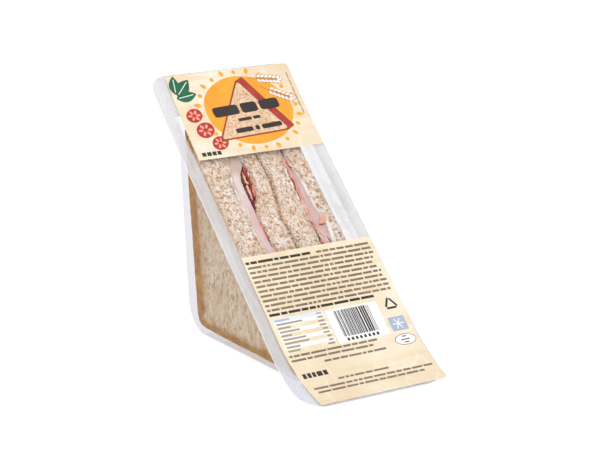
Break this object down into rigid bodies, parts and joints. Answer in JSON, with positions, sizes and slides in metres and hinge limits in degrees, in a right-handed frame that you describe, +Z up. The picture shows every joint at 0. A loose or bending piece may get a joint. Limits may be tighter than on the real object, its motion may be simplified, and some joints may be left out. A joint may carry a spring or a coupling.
{
  "type": "packed sandwich",
  "caption": "Sealed clear wedge pack with printed lidding film, holding a halved wholemeal sandwich of ham, bacon and pale dressing cut side up.",
  "frame": {"origin": "centre of the bounding box at the table, under the pack as it stands", "axes": "+Z up, +X across the pack to the right as seen from the front, +Y from the front to the back, so the lid faces -Y and up"},
  "size_m": [0.085, 0.1598, 0.1332],
  "materials": {
    "clear_tray": "clear, glossy thermoformed sheet",
    "printed_film": "clear film with satin cream print at both ends",
    "bread": "matt wholemeal crumb with a thin brown crust",
    "ham": "moist satin cut meat",
    "bacon": "moist satin cured meat with pale fat",
    "dressing": "soft satin cream"
  },
  "bodies": {
    "root": {"tray": "clear_tray", "lid_film": "printed_film", "bread_outer_a": "bread", "bread_inner_a": "bread", "bread_inner_b": "bread", "bread_outer_b": "bread", "ham_a": "ham", "ham_b": "ham", "bacon_a_upper": "bacon", "bacon_a_lower": "bacon", "bacon_b_upper": "bacon", "bacon_b_lower": "bacon", "sauce_a": "dressing", "sauce_b_inner": "dressing", "sauce_b_outer": "dressing"}
  },
  "joints": []
}
